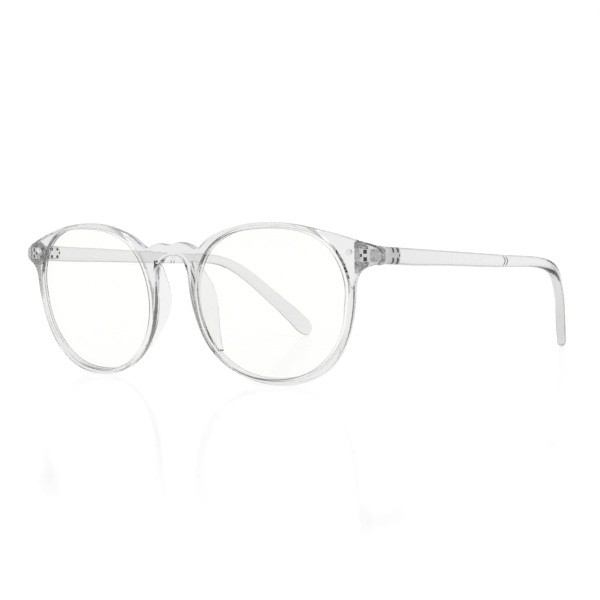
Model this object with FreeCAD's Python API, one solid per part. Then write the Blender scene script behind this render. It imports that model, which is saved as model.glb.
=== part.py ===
import FreeCAD, Part
import os
from FreeCAD import Vector
from math import sqrt

os.makedirs("parts", exist_ok=True)

# Spectacles with clear moulded rims. Millimetres, +X to the wearer's left, -Y forward, +Z up.
# The left half is modelled and mirrored. Everything is built with y = 0 at the middle of the
# lens front faces and moved at the end, so that the origin lies on the table under the middle
# of the bounding box.

# ---- driving dimensions ------------------------------------------------------------------
FRONT_TILT = 5.4            # the top of the front leans forward, degrees
LENS_MID_Z = 23.4           # height of the middle of a lens
LENS_RADIUS = 132.0         # radius of the lens surfaces (base 4)
RIM_DEPTH = 3.0             # rim, front to back
RIM_FRONT_ROUND = 0.7       # rounding of the outer rim edges
RIM_REAR_ROUND = 0.9
APERTURE_ROUND = 0.3        # rounding of the rim edges around a lens

LENS_THICK = 1.5
LENS_SETBACK = 1.0          # lens front behind the rim front
LENS_SEAT = 0.75            # how far a lens reaches into its groove
LENS_PLAY = 0.03            # play of a lens in its groove

REAR_Y = 9.45               # rearmost line of the end pieces, at the height of the hinge
BUTT_RADIUS = 3.9           # the rear of an end piece is round from top to bottom
BUTT_GAP = 0.15             # end piece to temple when open
BLOCK_X = 58.4              # where the rim thickens into the end piece
BLOCK_INSET = 0.1           # the thick part is this much inside the outline of the front
TRIM_X = 61.0               # where nothing is left behind the round rear

HINGE_X = 61.8
HINGE_Y = 10.5
HINGE_MID_Z = 36.4
KNUCKLE_RADIUS = 1.25
KNUCKLE_TALL = 3.5          # whole hinge barrel
KNUCKLE_MIDDLE = 1.2        # the temple's knuckle
KNUCKLE_GAP = 0.06
BARREL_CLEAR = 0.2          # free space around the barrel
SCREW_RADIUS = 0.6
SCREW_PLAY = 0.04
SCREW_HEAD_RADIUS = 0.95
SCREW_HEAD_TALL = 0.45
SCREW_SLOT = 0.3

LEAF_THICK = 0.9
LEAF_TALL = 3.4
LEAF_HOLE_RADIUS = 0.5
FRONT_LEAF_Y = 7.3          # the leaf in the end piece lies along its front face
FRONT_LEAF_ANGLE = 18.0
FRONT_LEAF_SPAN = (-1.7, 0.9)
FRONT_LEAF_HOLES = (-0.35,)
FRONT_HOLE_RISE = 1.0       # holes above and below the middle of a leaf
TEMPLE_LEAF_X = 63.55       # middle plane of the leaf in the inner face of the temple
TEMPLE_LEAF_SPAN = (9.9, 18.5)
TEMPLE_LEAF_HOLES = (15.0, 17.4)
TEMPLE_HOLE_RISE = 1.15
TEMPLE_LEAF_DROP = 3.3      # the leaf follows the slope of the temple, degrees
LEAF_NOTCH = (0.8, 0.5)     # notch in the anchored end of a leaf, width and depth

RIVET_X = 58.2
RIVET_Z = 36.9
RIVET_RADIUS = 0.85
RIVET_DEPTH = 1.3
RIVET_DOME = 0.2

CHEVRON_Y = 75.2            # the two chevron grooves on the outer face of a temple
CHEVRON_PITCH = 1.5
CHEVRON_WIDE = 0.5
CHEVRON_DEEP = 0.35
CHEVRON_LEAN = 1.8

X_END = 70.0                # beyond the end pieces
Y_FRONT = -8.0              # in front of everything
Y_REACH = 28.0              # from there through the whole front
END_DEPTH = 9.0             # deeper than the end pieces

Y_SHIFT = -68.7             # puts the origin under the middle of the bounding box
Z_SHIFT = -0.16             # puts the lowest points on z = 0

# Front view of the left lens opening: (x, z).
APERTURE = [
    (56.5, 24.5), (55.2, 33.5), (49.9, 40.3), (41.0, 43.5), (31.5, 43.9), (22.0, 42.4),
    (14.3, 37.9), (10.1, 30.7), (9.0, 22.6), (11.0, 14.4), (16.0, 7.6), (23.5, 3.1),
    (33.5, 1.8), (43.5, 3.8), (50.8, 9.3), (55.0, 16.5),
]
# Front view of the left half of the front, from the top of the bridge out to the end piece,
# round it and back along the lower edge to the underside of the bridge.
OUTLINE = [
    (0.0, 39.6), (5.5, 39.75), (7.9, 39.0), (9.3, 38.5), (11.0, 39.3), (13.5, 41.2),
    (18.6, 43.3), (25.0, 45.0), (33.0, 45.6), (41.0, 45.0), (48.0, 43.5), (56.0, 41.2),
    (61.0, 39.4), (64.4, 38.1), (65.8, 37.2), (66.4, 35.6), (65.9, 34.0), (64.6, 33.2),
    (61.9, 32.4), (59.9, 30.4), (59.1, 26.9), (58.1, 20.1), (55.2, 11.8), (50.1, 5.1),
    (43.0, 1.1), (33.5, -0.1), (24.0, 1.4), (16.2, 5.5), (11.2, 11.0), (8.3, 17.2),
    (6.7, 23.6), (6.1, 29.1), (4.9, 33.7), (2.7, 35.8), (0.0, 36.2),
]
# Plan of the lens front faces, (x, y), symmetric about x = 0.
FRONT_PLAN = [
    (0.0, 0.3), (8.0, -0.4), (18.7, -0.8), (33.0, 0.0), (45.0, 1.9), (56.5, 4.7), (62.0, 6.5),
    (68.0, 9.5),
]

# Nose pad wing, sections from top to bottom: z, root x, root y, free edge x, free edge y, thickness.
PAD_SECTIONS = [
    (34.6, 6.3, 0.8, 7.6, 3.0, 1.2),
    (31.5, 6.9, 0.8, 8.0, 5.0, 1.5),
    (27.5, 7.2, 0.8, 8.6, 7.1, 1.7),
    (23.5, 7.5, 0.8, 8.9, 8.3, 1.8),
    (19.5, 8.1, 0.8, 9.4, 8.0, 1.8),
    (15.5, 9.4, 0.8, 10.5, 6.6, 1.7),
    (12.0, 11.1, 0.8, 12.0, 5.0, 1.5),
    (8.8, 13.2, 1.0, 13.8, 3.6, 1.2),
]

# Temple, sections along its length: x, y, z of the middle, height, thickness.
TEMPLE_SECTIONS = [
    (64.8, 8.4, 36.3, 5.3, 3.2),
    (64.6, 20.0, 35.6, 4.8, 3.1),
    (64.7, 35.0, 34.6, 4.5, 2.9),
    (64.9, 60.0, 32.9, 4.1, 2.6),
    (65.2, 82.0, 31.5, 3.6, 2.5),
    (65.5, 97.0, 30.5, 3.3, 2.5),
    (65.2, 107.0, 28.2, 3.7, 2.7),
    (63.1, 115.0, 23.5, 4.2, 2.9),
    (60.5, 122.0, 17.6, 4.6, 3.0),
    (57.5, 128.4, 11.7, 5.2, 3.1),
    (55.0, 133.8, 6.35, 5.9, 3.1),
    (53.8, 136.4, 3.65, 5.9, 2.9),
    (53.0, 138.0, 1.93, 4.6, 2.2),
    (52.8, 138.8, 1.23, 2.4, 1.1),
]


# ---- helpers -----------------------------------------------------------------------------
def curve(points):
    """Smooth open curve through the points."""
    spline = Part.BSplineCurve()
    spline.interpolate(points)
    return spline.toShape()


def closed_curve(points):
    spline = Part.BSplineCurve()
    spline.interpolate(points, PeriodicFlag=True)
    return spline.toShape()


def box(x0, x1, y0, y1, z0, z1):
    return Part.makeBox(x1 - x0, y1 - y0, z1 - z0, Vector(x0, y0, z0))


def tilted(shape):
    """The front is drawn upright and leaned forward about the middle height of the lenses."""
    copy = shape.copy()
    copy.rotate(Vector(0, 0, LENS_MID_Z), Vector(1, 0, 0), FRONT_TILT)
    return copy


def mirrored(shape):
    return shape.mirror(Vector(0, 0, 0), Vector(1, 0, 0))


# ---- front frame -------------------------------------------------------------------------
def front_wire(points, to_right):
    """Closed front view curve through the points, moved to the right of its direction."""
    loop = closed_curve([Vector(x, Y_FRONT, z) for x, z in points])
    if to_right == 0:
        return Part.Wire([loop])
    first, last = loop.ParameterRange
    steps = 3 * len(points)
    moved = []
    for i in range(steps):
        at = first + (last - first) * i / steps
        along = loop.tangentAt(at)
        moved.append(loop.valueAt(at) + Vector(along.z, 0, -along.x) * to_right)
    return Part.Wire([closed_curve(moved)])


def opening_prism(grow):
    """The left lens opening, larger by grow, through everything."""
    return Part.Face(front_wire(APERTURE, grow)).extrude(Vector(0, Y_REACH, 0))


def outline_prism(shrink):
    """The outline of the whole front, smaller by shrink, through everything."""
    right = [(-x, z) for x, z in reversed(OUTLINE[1:-1])]
    return Part.Face(front_wire(OUTLINE + right, shrink)).extrude(Vector(0, Y_REACH, 0))


def whole_plan(left_half):
    return [(-x, y) for x, y in reversed(left_half) if x > 0] + left_half


def slab(near_plan, far_plan):
    """Double curved slab between two plan curves."""
    near = curve([Vector(x, y, LENS_MID_Z) for x, y in whole_plan(near_plan)])
    far = curve([Vector(x, y, LENS_MID_Z) for x, y in whole_plan(far_plan)])
    sides = [Part.makeLine(near.Vertexes[i].Point, far.Vertexes[i].Point) for i in (0, -1)]
    face = Part.Face(Part.Wire([near, sides[1], far, sides[0]]))
    axis = Vector(0, LENS_RADIUS, LENS_MID_Z)
    half_angle = 12.0
    face.rotate(axis, Vector(1, 0, 0), -half_angle)
    return face.revolve(axis, Vector(1, 0, 0), 2 * half_angle)


def behind(plan, distance):
    return [(x, y + distance) for x, y in plan]


def front_ring():
    """Rims, bridge and the front half of the end pieces, with rounded edges."""
    near = behind(FRONT_PLAN, -LENS_SETBACK)
    far = behind(FRONT_PLAN, RIM_DEPTH - LENS_SETBACK)
    hole = opening_prism(0)
    ring = outline_prism(0).common(slab(near, far)).cut([hole, mirrored(hole)])
    around_lenses = [edge for edge in ring.Edges if 60 > edge.BoundBox.XLength > 30]
    ring = ring.makeFillet(APERTURE_ROUND, around_lenses)
    for place, radius in ((0, RIM_FRONT_ROUND), (-1, RIM_REAR_ROUND)):
        outer = [edge for edge in ring.Edges if edge.BoundBox.XLength > 120]
        outer.sort(key=lambda edge: edge.CenterOfMass.y)
        ring = ring.makeFillet(radius, [outer[place]])
    return ring


def nose_pad():
    """Thin wing that grows backwards out of the nose side of the left rim."""
    wires = []
    for z, root_x, root_y, free_x, free_y, thick in PAD_SECTIONS:
        along = Vector(free_x - root_x, free_y - root_y, 0).normalize()
        across = Vector(along.y, -along.x, 0) * (thick / 2)
        root = Vector(root_x, root_y, z)
        tip = Vector(free_x, free_y, z)
        end = tip - along * (thick / 2)
        wires.append(Part.Wire([
            Part.makeLine(root + across, end + across),
            Part.Arc(end + across, tip, end - across).toShape(),
            Part.makeLine(end - across, root - across),
            Part.makeLine(root - across, root + across),
        ]))
    return Part.makeLoft(wires, True, False)


def lens(grow, play):
    """Left lens; with play it is the groove it sits in."""
    thick = slab(behind(FRONT_PLAN, -play), behind(FRONT_PLAN, LENS_THICK + play))
    return opening_prism(grow + play).common(thick)


def front_face_y(x, z):
    """Where the upright front face is at (x, z)."""
    plan = curve([Vector(px, py - LENS_SETBACK, 0) for px, py in FRONT_PLAN])
    probe = Part.makeLine(Vector(x, -5, 0), Vector(x, 15, 0))
    on_plan = plan.distToShape(probe)[1][0][0].y
    return LENS_RADIUS - sqrt((LENS_RADIUS - on_plan) ** 2 - (z - LENS_MID_Z) ** 2)


# ---- hinge -------------------------------------------------------------------------------
def barrel(radius, z0, z1):
    return Part.makeCylinder(radius, z1 - z0, Vector(HINGE_X, HINGE_Y, HINGE_MID_Z + z0))


def leaf_plate(span, holes, rise, notch_at):
    """Plate in the plane y = 0 along x, with anchor holes and a notch in its anchored end."""
    plate = box(*span, -LEAF_THICK / 2, LEAF_THICK / 2, -LEAF_TALL / 2, LEAF_TALL / 2)
    for along in holes:
        for z in (-rise, rise):
            centre = Vector(along, -LEAF_THICK, z)
            hole = Part.makeCylinder(LEAF_HOLE_RADIUS, 2 * LEAF_THICK, centre, Vector(0, 1, 0))
            plate = plate.cut(hole)
    wide, deep = LEAF_NOTCH
    notch = box(notch_at - deep, notch_at + deep, -LEAF_THICK, LEAF_THICK, -wide / 2, wide / 2)
    return plate.cut(notch)


def front_hinge():
    plate = leaf_plate(FRONT_LEAF_SPAN, FRONT_LEAF_HOLES, FRONT_HOLE_RISE, FRONT_LEAF_SPAN[0])
    plate.rotate(Vector(0, 0, 0), Vector(0, 0, 1), FRONT_LEAF_ANGLE)
    plate.translate(Vector(HINGE_X, FRONT_LEAF_Y, HINGE_MID_Z))
    half = KNUCKLE_TALL / 2
    inside = KNUCKLE_MIDDLE / 2 + KNUCKLE_GAP
    leaf = plate
    for z0, z1 in ((-half, -inside), (inside, half)):
        lug = box(
            HINGE_X - KNUCKLE_RADIUS, HINGE_X + KNUCKLE_RADIUS, FRONT_LEAF_Y, HINGE_Y,
            HINGE_MID_Z + z0, HINGE_MID_Z + z1,
        )
        leaf = leaf.fuse([lug, barrel(KNUCKLE_RADIUS, z0, z1)])
    return leaf.cut(barrel(SCREW_RADIUS, -half, half)).removeSplitter()


def temple_hinge():
    plate = leaf_plate(TEMPLE_LEAF_SPAN, TEMPLE_LEAF_HOLES, TEMPLE_HOLE_RISE, TEMPLE_LEAF_SPAN[1])
    plate.rotate(Vector(0, 0, 0), Vector(0, 0, 1), 90)
    plate.rotate(Vector(0, HINGE_Y, 0), Vector(1, 0, 0), -TEMPLE_LEAF_DROP)
    plate.translate(Vector(TEMPLE_LEAF_X, 0, HINGE_MID_Z))
    half = KNUCKLE_MIDDLE / 2
    arm = box(
        HINGE_X, TEMPLE_LEAF_X, HINGE_Y - LEAF_THICK / 2, HINGE_Y + KNUCKLE_RADIUS,
        HINGE_MID_Z - half, HINGE_MID_Z + half,
    )
    leaf = plate.fuse([arm, barrel(KNUCKLE_RADIUS, -half, half)])
    return leaf.cut(barrel(SCREW_RADIUS + SCREW_PLAY, -half, half)).removeSplitter()


def hinge_screw():
    half = KNUCKLE_TALL / 2
    head = barrel(SCREW_HEAD_RADIUS, half, half + SCREW_HEAD_TALL)
    slot = box(
        HINGE_X - SCREW_HEAD_RADIUS, HINGE_X + SCREW_HEAD_RADIUS,
        HINGE_Y - SCREW_SLOT / 2, HINGE_Y + SCREW_SLOT / 2,
        HINGE_MID_Z + half + SCREW_HEAD_TALL / 2, HINGE_MID_Z + half + SCREW_HEAD_TALL,
    )
    return barrel(SCREW_RADIUS, -half, half).fuse(head.cut(slot)).removeSplitter()


# ---- rivet on the end piece --------------------------------------------------------------
def rivet():
    """Small domed pin, square to the front face of the upright front."""
    y = front_face_y(RIVET_X, RIVET_Z)
    step = 1.0
    slope = (front_face_y(RIVET_X + step, RIVET_Z) - y) / step
    into = Vector(-slope, 1, 0).normalize()
    foot = Vector(RIVET_X, y, RIVET_Z) + into * RIVET_DEPTH
    pin = Part.makeCylinder(RIVET_RADIUS, RIVET_DEPTH + RIVET_DOME, foot, into * -1)
    rim = [edge for edge in pin.Edges if edge.Closed and edge.CenterOfMass.y < y]
    return pin.makeFillet(RIVET_DOME, rim)


# ---- temple ------------------------------------------------------------------------------
def rounded_section(middle, along, tall, thick):
    """Rounded rectangle, square to the direction along, tall side as upright as it can be."""
    across = along.cross(Vector(0, 0, 1)).normalize()
    up = across.cross(along).normalize()
    radius = 0.42 * thick
    a = thick / 2
    b = tall / 2
    k = radius * (1 - sqrt(0.5))

    def at(p, q):
        return middle + across * p + up * q

    edges = []
    corners = ((1, 1), (-1, 1), (-1, -1), (1, -1))
    for i, (p, q) in enumerate(corners):
        on_side = at(p * a, q * (b - radius))
        on_end = at(p * (a - radius), q * b)
        first, last = (on_side, on_end) if i % 2 == 0 else (on_end, on_side)
        edges.append(Part.Arc(first, at(p * (a - k), q * (b - k)), last).toShape())
    wire = []
    for i, arc in enumerate(edges):
        following = edges[(i + 1) % 4]
        wire.append(arc)
        wire.append(Part.makeLine(arc.Vertexes[-1].Point, following.Vertexes[0].Point))
    return Part.Wire(wire)


def temple_bar():
    middles = [Vector(x, y, z) for x, y, z, tall, thick in TEMPLE_SECTIONS]
    wires = []
    for i, (x, y, z, tall, thick) in enumerate(TEMPLE_SECTIONS):
        if i == 0:
            along = Vector(0, 1, 0)
        else:
            along = (middles[min(i + 1, len(middles) - 1)] - middles[i - 1]).normalize()
        wires.append(rounded_section(middles[i], along, tall, thick))
    return Part.makeLoft(wires, True, False)


def temple_middle(y):
    """Middle of the temple at y, its height and its thickness, between the sections around it."""
    for one, other in zip(TEMPLE_SECTIONS, TEMPLE_SECTIONS[1:]):
        if one[1] <= y <= other[1]:
            share = (y - one[1]) / (other[1] - one[1])
            return [a + (b - a) * share for a, b in zip(one, other)]


def chevron(tip_y):
    """V shaped cutter across the outer face, with its tip pointing to the back."""
    x, y, z, tall, thick = temple_middle(tip_y)
    face = x + thick / 2
    half = tall / 2 + 0.5
    arms = []
    for side in (-1, 1):
        tip = Vector(face, tip_y, z)
        end = Vector(face, tip_y - CHEVRON_LEAN, z + side * half)
        run = end - tip
        profile = Part.makePolygon([
            tip + Vector(-CHEVRON_DEEP, 0, 0),
            tip + Vector(CHEVRON_DEEP, -CHEVRON_WIDE, 0),
            tip + Vector(CHEVRON_DEEP, CHEVRON_WIDE, 0),
            tip + Vector(-CHEVRON_DEEP, 0, 0),
        ])
        arms.append(Part.Face(profile).extrude(run))
    return arms[0].fuse(arms[1])


# ---- assembly ----------------------------------------------------------------------------
def hinge_room():
    """Free space that the hinge barrel turns in."""
    half = KNUCKLE_TALL / 2 + SCREW_HEAD_TALL + BARREL_CLEAR
    return barrel(KNUCKLE_RADIUS + BARREL_CLEAR, -half, half)


def butt_round(radius, x0):
    """Cylinder along x whose rear is the round rear face of an end piece."""
    centre = Vector(x0, REAR_Y - BUTT_RADIUS, HINGE_MID_Z)
    return Part.makeCylinder(radius, X_END - x0, centre, Vector(1, 0, 0))


def end_block():
    """Rear half of an end piece, round from top to bottom where the temple shuts against it."""
    body = tilted(outline_prism(BLOCK_INSET).common(slab(FRONT_PLAN, behind(FRONT_PLAN, END_DEPTH))))
    low, high = HINGE_MID_Z - BUTT_RADIUS, HINGE_MID_Z + BUTT_RADIUS
    ahead = box(BLOCK_X, X_END, 0, REAR_Y - BUTT_RADIUS, low, high)
    return body.common(ahead.fuse(butt_round(BUTT_RADIUS, BLOCK_X)))


def front_frame(groove, pin, hinge):
    """The front leans forward before its end pieces are made and the hinges are let in."""
    block = end_block()
    pad = tilted(nose_pad())
    front = tilted(front_ring()).fuse([block, mirrored(block), pad, mirrored(pad)])
    behind_end = box(TRIM_X, X_END, REAR_Y - BUTT_RADIUS, REAR_Y + BUTT_RADIUS, 0, 2 * HINGE_MID_Z)
    trim = behind_end.cut(butt_round(BUTT_RADIUS, TRIM_X))
    tools = [tilted(groove), tilted(pin), trim, hinge, hinge_room()]
    return front.cut(tools + [mirrored(tool) for tool in tools])


glass = lens(LENS_SEAT, 0)
pin = rivet()
hinge_front = front_hinge()
hinge_temple = temple_hinge()
frame = front_frame(lens(LENS_SEAT, LENS_PLAY), pin, hinge_front)
temple = temple_bar().cut([
    butt_round(BUTT_RADIUS + BUTT_GAP, BLOCK_X), hinge_room(), hinge_temple,
    chevron(CHEVRON_Y), chevron(CHEVRON_Y + CHEVRON_PITCH),
])

one_side = {
    "lens": tilted(glass),
    "temple": temple,
    "front_hinge": hinge_front,
    "temple_hinge": hinge_temple,
    "hinge_screw": hinge_screw(),
    "rivet": tilted(pin),
}
nodes = {"front_frame": frame}
for name, shape in one_side.items():
    nodes["left_" + name] = shape
    nodes["right_" + name] = mirrored(shape)

for name, shape in nodes.items():
    shape.translate(Vector(0, Y_SHIFT, Z_SHIFT))
    shape.exportStep("parts/%s.step" % name)
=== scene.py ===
from math import cos, radians, sin

import bmesh
import bpy
from mathutils import Matrix, Vector


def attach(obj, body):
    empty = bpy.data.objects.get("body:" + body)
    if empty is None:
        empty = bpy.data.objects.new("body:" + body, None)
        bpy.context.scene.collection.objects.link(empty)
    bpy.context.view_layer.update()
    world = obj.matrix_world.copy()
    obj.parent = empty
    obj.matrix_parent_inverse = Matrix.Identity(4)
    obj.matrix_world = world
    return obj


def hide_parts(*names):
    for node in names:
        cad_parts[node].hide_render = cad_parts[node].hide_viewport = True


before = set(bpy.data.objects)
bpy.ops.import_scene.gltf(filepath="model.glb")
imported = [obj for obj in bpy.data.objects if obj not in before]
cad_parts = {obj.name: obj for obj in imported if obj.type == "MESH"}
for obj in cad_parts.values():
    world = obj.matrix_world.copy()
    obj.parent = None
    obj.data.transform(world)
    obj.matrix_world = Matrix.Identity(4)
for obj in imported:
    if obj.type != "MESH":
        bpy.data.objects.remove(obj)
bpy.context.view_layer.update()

# ---- camera ------------------------------------------------------------------------------
AZIMUTH = radians(36.11)          # of the camera, from -Y towards +X
ELEVATION = radians(3.73)
ROLL = radians(-1.15)
DISTANCE = 0.4384
LENS_MM = 96.88                   # on a sensor 36 mm wide
TARGET = Vector((0.04448, -0.0687, 0.02431))


def add_camera():
    back = Vector((
        sin(AZIMUTH) * cos(ELEVATION), -cos(AZIMUTH) * cos(ELEVATION), sin(ELEVATION)
    ))
    right = (-back).cross(Vector((0, 0, 1))).normalized()
    up = right.cross(-back).normalized()
    rolled_right = right * cos(ROLL) + up * sin(ROLL)
    rolled_up = -right * sin(ROLL) + up * cos(ROLL)
    data = bpy.data.cameras.new("camera")
    data.lens = LENS_MM
    data.sensor_width = 36.0
    data.clip_start = 0.01
    camera = bpy.data.objects.new("camera", data)
    turn = Matrix((rolled_right, rolled_up, back)).transposed()
    camera.matrix_world = Matrix.Translation(TARGET + back * DISTANCE) @ turn.to_4x4()
    bpy.context.scene.collection.objects.link(camera)
    bpy.context.scene.camera = camera


add_camera()


# ---- node helpers ------------------------------------------------------------------------
class Tree:
    """A short way to build a node tree."""

    def __init__(self, owner):
        owner.use_nodes = True
        self.nodes = owner.node_tree.nodes
        self.links = owner.node_tree.links
        self.nodes.clear()

    def add(self, kind, inputs=None, **settings):
        node = self.nodes.new(kind)
        for name, value in settings.items():
            setattr(node, name, value)
        for name, value in (inputs or {}).items():
            socket = node.inputs[name]
            if isinstance(value, bpy.types.NodeSocket):
                self.links.new(value, socket)
            else:
                socket.default_value = value
        return node

    def math(self, operation, a, b=0.0, clamp=False):
        node = self.add("ShaderNodeMath", {0: a, 1: b}, operation=operation, use_clamp=clamp)
        return node.outputs[0]

    def noise(self, vector, scale, detail):
        node = self.add(
            "ShaderNodeTexNoise", {"Vector": vector, "Scale": scale, "Detail": detail}
        )
        return node.outputs["Fac"]

    def span(self, value, given, wanted):
        """Maps value from the range given to the range wanted."""
        node = self.add("ShaderNodeMapRange", {
            "Value": value, "From Min": given[0], "From Max": given[1],
            "To Min": wanted[0], "To Max": wanted[1],
        })
        return node.outputs[0]

    def ramp(self, value, stops):
        node = self.add("ShaderNodeValToRGB", {"Fac": value})
        elements = node.color_ramp.elements
        elements[0].position, elements[1].position = stops[0][0], stops[-1][0]
        elements[0].color, elements[1].color = grey(stops[0][1]), grey(stops[-1][1])
        for position, level in stops[1:-1]:
            elements.new(position).color = grey(level)
        return node.outputs["Color"]


def grey(level):
    return (level, level, level, 1.0)


# ---- studio ------------------------------------------------------------------------------
SKY_LEVELS = (                    # light over the Z of its direction, horizon to zenith
    (0.0, 1.0), (0.40, 1.0), (0.55, 0.65), (0.75, 0.65), (0.90, 1.5), (1.0, 1.5),
)
SKY_STRENGTH = 1.02
MIX_A, MIX_B, MIX_RESULT = 6, 7, 2    # the colour sockets of a Mix node
FLOOR_HALF = 3.0                  # the floor is a square, this far to each side
FLOOR_GLOW = 0.88
FLOOR_GREY = 0.16
FLOOR_GLOSS = 0.14                # share of the mirror in the floor
FLOOR_ROUGHNESS = 0.08
MAX_BOUNCES = 64
GLOSSY_BOUNCES = 16


def add_world():
    world = bpy.data.worlds.new("studio")
    tree = Tree(world)
    coords = tree.add("ShaderNodeTexCoord").outputs["Generated"]
    z = tree.add("ShaderNodeSeparateXYZ", {"Vector": coords}).outputs["Z"]
    level = tree.ramp(z, SKY_LEVELS)
    seen = tree.add("ShaderNodeLightPath").outputs["Is Camera Ray"]
    mix = tree.add(
        "ShaderNodeMix", {"Factor": seen, MIX_A: level, MIX_B: grey(1.0)}, data_type="RGBA"
    )
    shade = mix.outputs[MIX_RESULT]
    background = tree.add("ShaderNodeBackground", {"Color": shade, "Strength": SKY_STRENGTH})
    tree.add("ShaderNodeOutputWorld", {"Surface": background.outputs[0]})
    bpy.context.scene.world = world


def add_floor():
    mesh = bpy.data.meshes.new("floor")
    half = FLOOR_HALF
    corners = [(-half, -half, 0), (half, -half, 0), (half, half, 0), (-half, half, 0)]
    mesh.from_pydata(corners, [], [(0, 1, 2, 3)])
    floor = bpy.data.objects.new("floor", mesh)
    bpy.context.scene.collection.objects.link(floor)
    material = bpy.data.materials.new("floor")
    tree = Tree(material)
    glow = tree.add("ShaderNodeEmission", {"Color": grey(1.0), "Strength": FLOOR_GLOW})
    diffuse = tree.add("ShaderNodeBsdfDiffuse", {"Color": grey(FLOOR_GREY)})
    gloss = tree.add(
        "ShaderNodeBsdfGlossy", {"Color": grey(1.0), "Roughness": FLOOR_ROUGHNESS}
    )
    matt = tree.add("ShaderNodeAddShader", {0: glow.outputs[0], 1: diffuse.outputs[0]})
    mixed = tree.add(
        "ShaderNodeMixShader", {"Fac": FLOOR_GLOSS, 1: matt.outputs[0], 2: gloss.outputs[0]}
    )
    tree.add("ShaderNodeOutputMaterial", {"Surface": mixed.outputs[0]})
    mesh.materials.append(material)


add_world()
add_floor()
scene = bpy.context.scene
scene.view_settings.view_transform = "Standard"
scene.cycles.max_bounces = MAX_BOUNCES
scene.cycles.transmission_bounces = MAX_BOUNCES
scene.cycles.glossy_bounces = GLOSSY_BOUNCES


# ---- materials ---------------------------------------------------------------------------
ABSORPTION = 60.0                 # of the clear plastic, per metre
BUTT_FRONT = -0.0632              # where the round rear of an end piece starts
BUTT_REAR = -0.0588               # and where the hollow front of a temple is over
BUTT_INNER = 0.0583               # the end pieces are outside of this
BUTT_MIDDLE = 0.03624             # height of the hinge, where the faces are less matt
BUTT_BAND = 0.0018                # half of that zone's height
BAND_SHARE = 0.5                  # this share of the matt finish is missing there
BUTT_FACING = 0.35                # a face turned less than this to the front or rear is polished
BUTT_PALE = ((0.3, 0.80), (0.7, 0.98))
POLISH = (0.01, 0.05)             # roughness of the clear plastic between its smears
# painted shade: the clear plastic darkens where its surface turns edge-on to the view, drawing
# dark outlines along its edges
EDGE_PAINTED_SHADE = ((0.0, 0.99), (0.70, 0.97), (0.88, 0.80), (0.98, 0.30))
LENS_TINT = (0.960, 0.963, 0.940, 1.0)
LENS_IOR = 1.25                   # low, because a coating takes the reflections away
# the ground edge's grey: grain of its own, darkened as painted shade for the dark line along the
# lens boundary
GROUND_GRAIN_AND_SHADE_GREYS = ((0.3, 0.22), (0.7, 0.42))
GROUND_FACING = 0.5               # the ground edge of a lens faces sideways


def butt_mask(tree, point):
    """1 on the matt faces where an end piece and a temple meet, 0 on polished plastic."""
    place = tree.add("ShaderNodeSeparateXYZ", {"Vector": point})
    facing = tree.add("ShaderNodeTexCoord").outputs["Normal"]
    along = tree.add("ShaderNodeSeparateXYZ", {"Vector": facing}).outputs["Y"]
    tests = (
        tree.math("GREATER_THAN", place.outputs["Y"], BUTT_FRONT),
        tree.math("LESS_THAN", place.outputs["Y"], BUTT_REAR),
        tree.math("GREATER_THAN", tree.math("ABSOLUTE", place.outputs["X"]), BUTT_INNER),
        tree.math("GREATER_THAN", tree.math("ABSOLUTE", along), BUTT_FACING),
    )
    rise = tree.math("ABSOLUTE", tree.math("SUBTRACT", place.outputs["Z"], BUTT_MIDDLE))
    in_band = tree.math("LESS_THAN", rise, BUTT_BAND)
    mask = tree.math("SUBTRACT", 1.0, tree.math("MULTIPLY", in_band, BAND_SHARE))
    for test in tests:
        mask = tree.math("MULTIPLY", mask, test)
    return mask


def clear_plastic():
    material = bpy.data.materials.new("clear_plastic_polished")
    tree = Tree(material)
    coords = tree.add("ShaderNodeTexCoord").outputs["Object"]
    waves = tree.noise(coords, 180.0, 2.0)
    bump = tree.add(
        "ShaderNodeBump", {"Height": waves, "Strength": 0.15, "Distance": 0.0001}
    ).outputs["Normal"]
    smears = tree.noise(coords, 400.0, 5.0)
    rough = tree.span(smears, (0.3, 0.8), POLISH)
    facing = tree.add("ShaderNodeLayerWeight", {"Blend": 0.5, "Normal": bump}).outputs["Facing"]
    # painted shade: darker colour at grazing angles
    painted_edge_shade = tree.ramp(facing, EDGE_PAINTED_SHADE)
    shader = tree.add("ShaderNodeBsdfPrincipled", {
        "Base Color": painted_edge_shade, "Roughness": rough, "IOR": 1.5,
        "Transmission Weight": 1.0, "Normal": bump,
    })
    matt = tree.add("ShaderNodeBsdfPrincipled", {
        "Base Color": tree.ramp(smears, BUTT_PALE), "Roughness": 0.7, "IOR": 1.5,
        "Transmission Weight": 0.3,
    })
    surface = tree.add("ShaderNodeMixShader", {
        "Fac": butt_mask(tree, coords), 1: shader.outputs[0], 2: matt.outputs[0],
    })
    depth = tree.add(
        "ShaderNodeVolumeAbsorption", {"Color": grey(0.0), "Density": ABSORPTION}
    )
    tree.add(
        "ShaderNodeOutputMaterial", {"Surface": surface.outputs[0], "Volume": depth.outputs[0]}
    )
    return material


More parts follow.
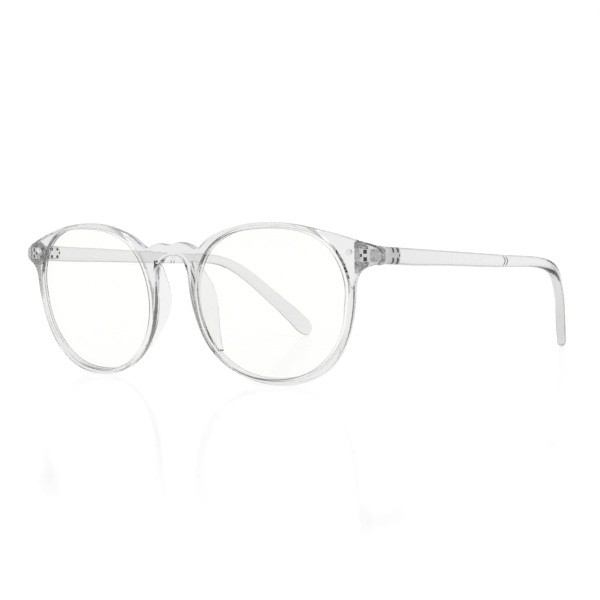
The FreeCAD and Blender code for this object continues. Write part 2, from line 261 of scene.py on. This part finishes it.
def lens_resin():
    """Clear coated resin with a ground edge, where the surface faces away from the lens axis. The
    edge's grain is its own, its dark grey is painted shade along the lens boundary.
    """
    material = bpy.data.materials.new("lens_resin")
    tree = Tree(material)
    coords = tree.add("ShaderNodeTexCoord").outputs["Object"]
    dust = tree.noise(coords, 90.0, 6.0)
    rough = tree.span(dust, (0.35, 0.75), (0.0, 0.02))
    resin = tree.add("ShaderNodeBsdfPrincipled", {
        "Base Color": LENS_TINT, "Roughness": rough, "IOR": LENS_IOR, "Transmission Weight": 1.0,
    })
    grinding = tree.noise(coords, 2500.0, 4.0)
    # painted shade: the ground edge is opaque dark grey, a dark line along the lens boundary
    ground = tree.add("ShaderNodeBsdfPrincipled", {
        "Base Color": tree.ramp(grinding, GROUND_GRAIN_AND_SHADE_GREYS), "Roughness": 0.6,
    })
    normal = tree.add("ShaderNodeNewGeometry").outputs["True Normal"]
    along_axis = tree.add("ShaderNodeSeparateXYZ", {"Vector": normal}).outputs["Y"]
    is_edge = tree.math("LESS_THAN", tree.math("ABSOLUTE", along_axis), GROUND_FACING)
    mixed = tree.add(
        "ShaderNodeMixShader", {"Fac": is_edge, 1: resin.outputs[0], 2: ground.outputs[0]}
    )
    tree.add("ShaderNodeOutputMaterial", {"Surface": mixed.outputs[0]})
    return material


def metal(name, level, low, high, scale):
    """Metal of one grey level, with a roughness between low and high and a fine grain."""
    material = bpy.data.materials.new(name)
    tree = Tree(material)
    coords = tree.add("ShaderNodeTexCoord").outputs["Object"]
    grain = tree.noise(coords, scale, 6.0)
    rough = tree.span(grain, (0.3, 0.7), (low, high))
    shader = tree.add("ShaderNodeBsdfPrincipled", {
        "Base Color": grey(level), "Roughness": rough, "Metallic": 1.0,
    })
    tree.add("ShaderNodeOutputMaterial", {"Surface": shader.outputs[0]})
    return material


plastic = clear_plastic()
resin = lens_resin()
hinge_metal = metal("hinge_nickel", 0.93, 0.25, 0.5, 3000.0)
# painted shade: near-black metal laid over the hinge holes and notches, where only shade shows
hole_shade = metal("hinge_hole_shade", 0.04, 0.4, 0.7, 3000.0)
screw_metal = metal("screw_steel", 0.5, 0.2, 0.35, 4000.0)
rivet_metal = metal("rivet_chrome", 0.75, 0.1, 0.35, 3000.0)
finishes = {
    "front_frame": plastic, "temple": plastic, "lens": resin, "front_hinge": hinge_metal,
    "temple_hinge": hinge_metal, "hinge_screw": screw_metal, "rivet": rivet_metal,
}
for name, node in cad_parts.items():
    kind = name.removeprefix("left_").removeprefix("right_")
    for slot in node.material_slots:
        slot.material = finishes[kind]


# ---- hinges ------------------------------------------------------------------------------
MM = 0.001
HINGE = Vector((0.0618, -0.0582, 0.03624))     # middle of the left hinge barrel
SKIN = 0.02                                    # the leaves press this far into the plastic, mm
EDGE = 0.08                                    # rounding of the sheet metal, mm
# the second slot is painted shade over the holes and notches of the leaves
METAL, PAINTED_HOLE_SHADE = 0, 1                             # material slots
BARREL_RADIUS = 1.25
BARREL_HALF = 1.75                             # half the height of the barrel
KNUCKLE_INNER = 0.68                           # where an outer knuckle starts
MIDDLE_HALF = 0.6                              # half the height of the middle knuckle
ARM_REACH = 3.2                                # from the plate in the end piece to the axis
PLATE_HALF = 1.7                               # half the height of a plate
NOTCH_HALF = 0.4
NOTCH_DEPTH = 0.5
FRONT_THICK = 0.9
FRONT_TURN = radians(18.0)
FRONT_SPAN = (-1.7, 0.9)
FRONT_HOLE_SPAN = (-0.85, 0.15)
FRONT_HOLE_HALF = 0.55
FRONT_HOLE_RISE = 1.0
TEMPLE_DROP = radians(-3.3)
TEMPLE_INNER, TEMPLE_OUTER = 1.3, 2.2          # faces of the plate in the temple
TEMPLE_SPAN = (-0.6, 8.0)
TEMPLE_HOLES = (4.5, 6.9)
TEMPLE_HOLE_RADIUS = 0.5
TEMPLE_HOLE_RISE = 1.15
TEMPLE_ARM_FRONT = 0.45                        # the arm to the knuckle starts before the axis


class HingeMesh:
    """Sheet metal shapes gathered in one mesh, in millimetres about the hinge axis."""

    def __init__(self):
        self.mesh = bmesh.new()

    def keep(self, verts, turn, finish):
        bmesh.ops.transform(self.mesh, matrix=turn, verts=verts)
        for face in {face for vert in verts for face in vert.link_faces}:
            face.material_index = finish

    def brick(self, low, high, turn=Matrix(), finish=METAL):
        size = [b - a for a, b in zip(low, high)]
        middle = [(a + b) / 2 for a, b in zip(low, high)]
        shape = Matrix.Translation(middle) @ Matrix.Diagonal((*size, 1.0))
        verts = bmesh.ops.create_cube(self.mesh, size=1.0, matrix=shape)["verts"]
        if finish == METAL:
            edges = list({edge for vert in verts for edge in vert.link_edges})
            rounded = bmesh.ops.bevel(
                self.mesh, geom=verts + edges, offset=EDGE, segments=2, profile=0.5, affect="EDGES"
            )
            verts = list({vert for face in rounded["faces"] for vert in face.verts})
        self.keep(verts, turn, finish)

    def rod(self, radius, low, high, turn=Matrix(), finish=METAL):
        verts = bmesh.ops.create_cone(
            self.mesh, cap_ends=True, segments=48, radius1=radius, radius2=radius,
            depth=high - low, matrix=Matrix.Translation((0, 0, (low + high) / 2)),
        )["verts"]
        self.keep(verts, turn, finish)

    def piece(self, name, node, body, side):
        flip = Matrix.Diagonal((side * MM, MM, MM, 1.0))
        place = Matrix.Translation((side * HINGE.x, HINGE.y, HINGE.z)) @ flip
        bmesh.ops.transform(self.mesh, matrix=place, verts=self.mesh.verts)
        bmesh.ops.recalc_face_normals(self.mesh, faces=self.mesh.faces)
        data = bpy.data.meshes.new(name)
        self.mesh.to_mesh(data)
        self.mesh.free()
        data.materials.append(hinge_metal)
        data.materials.append(hole_shade)
        made = bpy.data.objects.new(name, data)
        bpy.context.scene.collection.objects.link(made)
        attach(made, body)
        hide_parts(node)


def front_leaf():
    leaf = HingeMesh()
    thick = FRONT_THICK / 2 + SKIN
    start, end = FRONT_SPAN
    hole_start, hole_end = FRONT_HOLE_SPAN
    lie = Matrix.Translation((0, -ARM_REACH, 0)) @ Matrix.Rotation(FRONT_TURN, 4, "Z")
    plate_low = (start - SKIN, -thick, -PLATE_HALF - SKIN)
    leaf.brick(plate_low, (end + SKIN, thick, PLATE_HALF + SKIN), lie)
    # painted shade: dark bricks over the two holes and the notch of the plate
    for rise in (-FRONT_HOLE_RISE, FRONT_HOLE_RISE):
        low = (hole_start, -thick - SKIN, rise - FRONT_HOLE_HALF)
        high = (hole_end, thick + SKIN, rise + FRONT_HOLE_HALF)
        leaf.brick(low, high, lie, PAINTED_HOLE_SHADE)
    notch_low = (start - 2 * SKIN, -thick - SKIN, -NOTCH_HALF)
    leaf.brick(notch_low, (start + NOTCH_DEPTH, thick + SKIN, NOTCH_HALF), lie, PAINTED_HOLE_SHADE)
    for low, high in ((-BARREL_HALF, -KNUCKLE_INNER), (KNUCKLE_INNER, BARREL_HALF)):
        leaf.brick((-BARREL_RADIUS, -ARM_REACH, low), (BARREL_RADIUS, 0.0, high))
        leaf.rod(BARREL_RADIUS, low, high)
    return leaf


def temple_leaf():
    leaf = HingeMesh()
    slope = Matrix.Rotation(TEMPLE_DROP, 4, "X")
    across = Matrix.Rotation(radians(90.0), 4, "Y")
    inner, outer = TEMPLE_INNER - SKIN, TEMPLE_OUTER + SKIN
    start, end = TEMPLE_SPAN
    plate_low = (inner, start - SKIN, -PLATE_HALF - SKIN)
    leaf.brick(plate_low, (outer, end + SKIN, PLATE_HALF + SKIN), slope)
    # painted shade: dark discs over the holes and a dark brick over the notch
    for along in TEMPLE_HOLES:
        for rise in (-TEMPLE_HOLE_RISE, TEMPLE_HOLE_RISE):
            place = slope @ Matrix.Translation((0, along, rise)) @ across
            leaf.rod(TEMPLE_HOLE_RADIUS, inner - SKIN, outer + SKIN, place, PAINTED_HOLE_SHADE)
    notch_low = (inner - SKIN, end - NOTCH_DEPTH, -NOTCH_HALF)
    leaf.brick(notch_low, (outer + SKIN, end + 2 * SKIN, NOTCH_HALF), slope, PAINTED_HOLE_SHADE)
    arm_low = (0.0, -TEMPLE_ARM_FRONT, -MIDDLE_HALF)
    leaf.brick(arm_low, (inner + EDGE, BARREL_RADIUS, MIDDLE_HALF))
    leaf.rod(BARREL_RADIUS, -MIDDLE_HALF, MIDDLE_HALF)
    return leaf


for side, where in ((1, "left"), (-1, "right")):
    front_leaf().piece(where + "_front_leaf", where + "_front_hinge", "front", side)
    temple_leaf().piece(where + "_temple_leaf", where + "_temple_hinge", where + "_temple", side)
